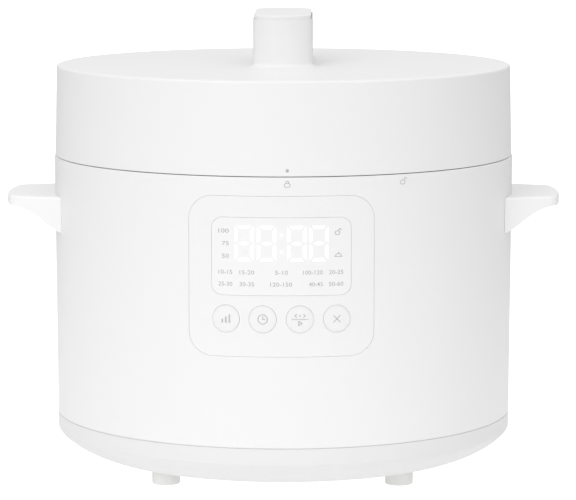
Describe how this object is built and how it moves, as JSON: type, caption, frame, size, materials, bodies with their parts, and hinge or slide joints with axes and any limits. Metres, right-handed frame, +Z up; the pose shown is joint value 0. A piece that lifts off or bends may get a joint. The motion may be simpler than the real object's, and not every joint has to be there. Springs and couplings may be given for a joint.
{
  "type": "electric pressure cooker",
  "caption": "Round electric pressure cooker with side handles, a bayonet lid with a knob and steam release button, a front control panel and a removable cooking pot.",
  "frame": {"origin": "on the vertical axis of the body, at the level of the feet's undersides", "axes": "+Z up, -Y towards the control panel at the front, +X towards the handle on the right when seen from the front"},
  "size_m": [0.3338, 0.277, 0.2755],
  "materials": {
    "body_plastic": "fine satin moulded",
    "lid_plastic": "fine satin moulded",
    "base_plastic": "fine satin moulded",
    "panel_plastic": "smooth satin",
    "window_plastic": "smooth satin, lets light through",
    "key_plastic": "smooth satin",
    "inner_plastic": "moulded",
    "dark_plastic": "moulded",
    "foot_rubber": "soft",
    "silicone": "soft translucent",
    "steel": "brushed",
    "spring_steel": "drawn wire",
    "screw_steel": "zinc plated",
    "pot_alloy": "coated inside, brushed outside",
    "cast_alloy": "cast and turned",
    "board": "printed circuit board"
  },
  "bodies": {
    "base": {"outer_shell": "body_plastic", "base_cover": "base_plastic", "feet": "foot_rubber", "base_screws": "screw_steel", "left_handle": "body_plastic", "right_handle": "body_plastic", "handle_screws": "screw_steel", "panel_overlay": "panel_plastic", "display_window": "window_plastic", "panel_housing": "inner_plastic", "display_module": "dark_plastic", "control_board": "board", "board_screws": "screw_steel", "top_ring": "inner_plastic", "locking_ring": "steel", "outer_pot": "steel", "inner_pot": "pot_alloy", "heating_plate": "cast_alloy", "heating_element": "steel", "spring_plate": "steel", "probe_housing": "inner_plastic", "probe_spring": "spring_steel", "pressure_switch": "dark_plastic", "switch_bracket": "steel", "thermal_fuse": "inner_plastic", "heat_shield": "steel", "support_pillars": "steel", "power_board": "board", "power_inlet": "dark_plastic", "ribbon_cable": "inner_plastic", "mains_leads": "dark_plastic"},
    "lid": {"lid_cover": "lid_plastic", "lid_liner": "inner_plastic", "pressure_lid": "steel", "lid_nuts": "screw_steel", "lid_screws": "screw_steel", "seal_ring": "silicone", "seal_carrier": "steel", "anti_block_cap": "steel", "steam_nozzle": "steel", "nozzle_nut": "screw_steel", "lever_bracket": "inner_plastic", "lever_pin": "screw_steel", "float_bush": "silicone", "release_spring": "spring_steel"},
    "release_button": {"release_button": "lid_plastic"},
    "release_lever": {"release_lever": "inner_plastic"},
    "exhaust_valve": {"exhaust_valve": "dark_plastic"},
    "float_valve": {"float_valve": "steel"},
    "texture_button": {"texture_button": "key_plastic"},
    "timer_button": {"timer_button": "key_plastic"},
    "start_button": {"start_button": "key_plastic"},
    "cancel_button": {"cancel_button": "key_plastic"},
    "probe_cap": {"probe_cap": "cast_alloy"}
  },
  "joints": [
    {"name": "lid_turn", "type": "hinge", "parent": "base", "child": "lid", "pos_m": [0, 0, 0.19], "axis": [0, 0, 1], "range_deg": [0, 28.5]},
    {"name": "release_press", "type": "slide", "parent": "lid", "child": "release_button", "axis": [0, 0, -1], "range_m": [0, 0.0023], "stiffness_N_per_m": 600, "springref_m": -0.003, "deforming": ["release_spring"]},
    {"name": "lever_rock", "type": "hinge", "parent": "lid", "child": "release_lever", "pos_m": [0, 0.012, 0.226], "axis": [1, 0, 0], "range_deg": [0, 11]},
    {"name": "valve_lift", "type": "slide", "parent": "lid", "child": "exhaust_valve", "axis": [0, 0, 1], "range_m": [0, 0.00154]},
    {"name": "float_rise", "type": "slide", "parent": "lid", "child": "float_valve", "axis": [0, 0, 1], "range_m": [0, 0.0035]},
    {"name": "probe_press", "type": "slide", "parent": "base", "child": "probe_cap", "axis": [0, 0, -1], "range_m": [0, 0.0015], "stiffness_N_per_m": 400, "springref_m": -0.003, "deforming": ["probe_spring"]},
    {"name": "texture_press", "type": "slide", "parent": "base", "child": "texture_button", "axis": [0.2284, 0.9736, 0], "range_m": [0, 0.0006], "stiffness_N_per_m": 1200, "springref_m": -0.0004},
    {"name": "timer_press", "type": "slide", "parent": "base", "child": "timer_button", "axis": [0.0767, 0.9971, 0], "range_m": [0, 0.0006], "stiffness_N_per_m": 1200, "springref_m": -0.0004},
    {"name": "start_press", "type": "slide", "parent": "base", "child": "start_button", "axis": [-0.0767, 0.9971, 0], "range_m": [0, 0.0006], "stiffness_N_per_m": 1200, "springref_m": -0.0004},
    {"name": "cancel_press", "type": "slide", "parent": "base", "child": "cancel_button", "axis": [-0.2284, 0.9736, 0], "range_m": [0, 0.0006], "stiffness_N_per_m": 1200, "springref_m": -0.0004}
  ],
  "couplings": [
    {"joint": "lever_rock", "follows": "release_press", "rad_per_m": 83.333},
    {"joint": "valve_lift", "follows": "release_press", "ratio": 0.66667}
  ]
}
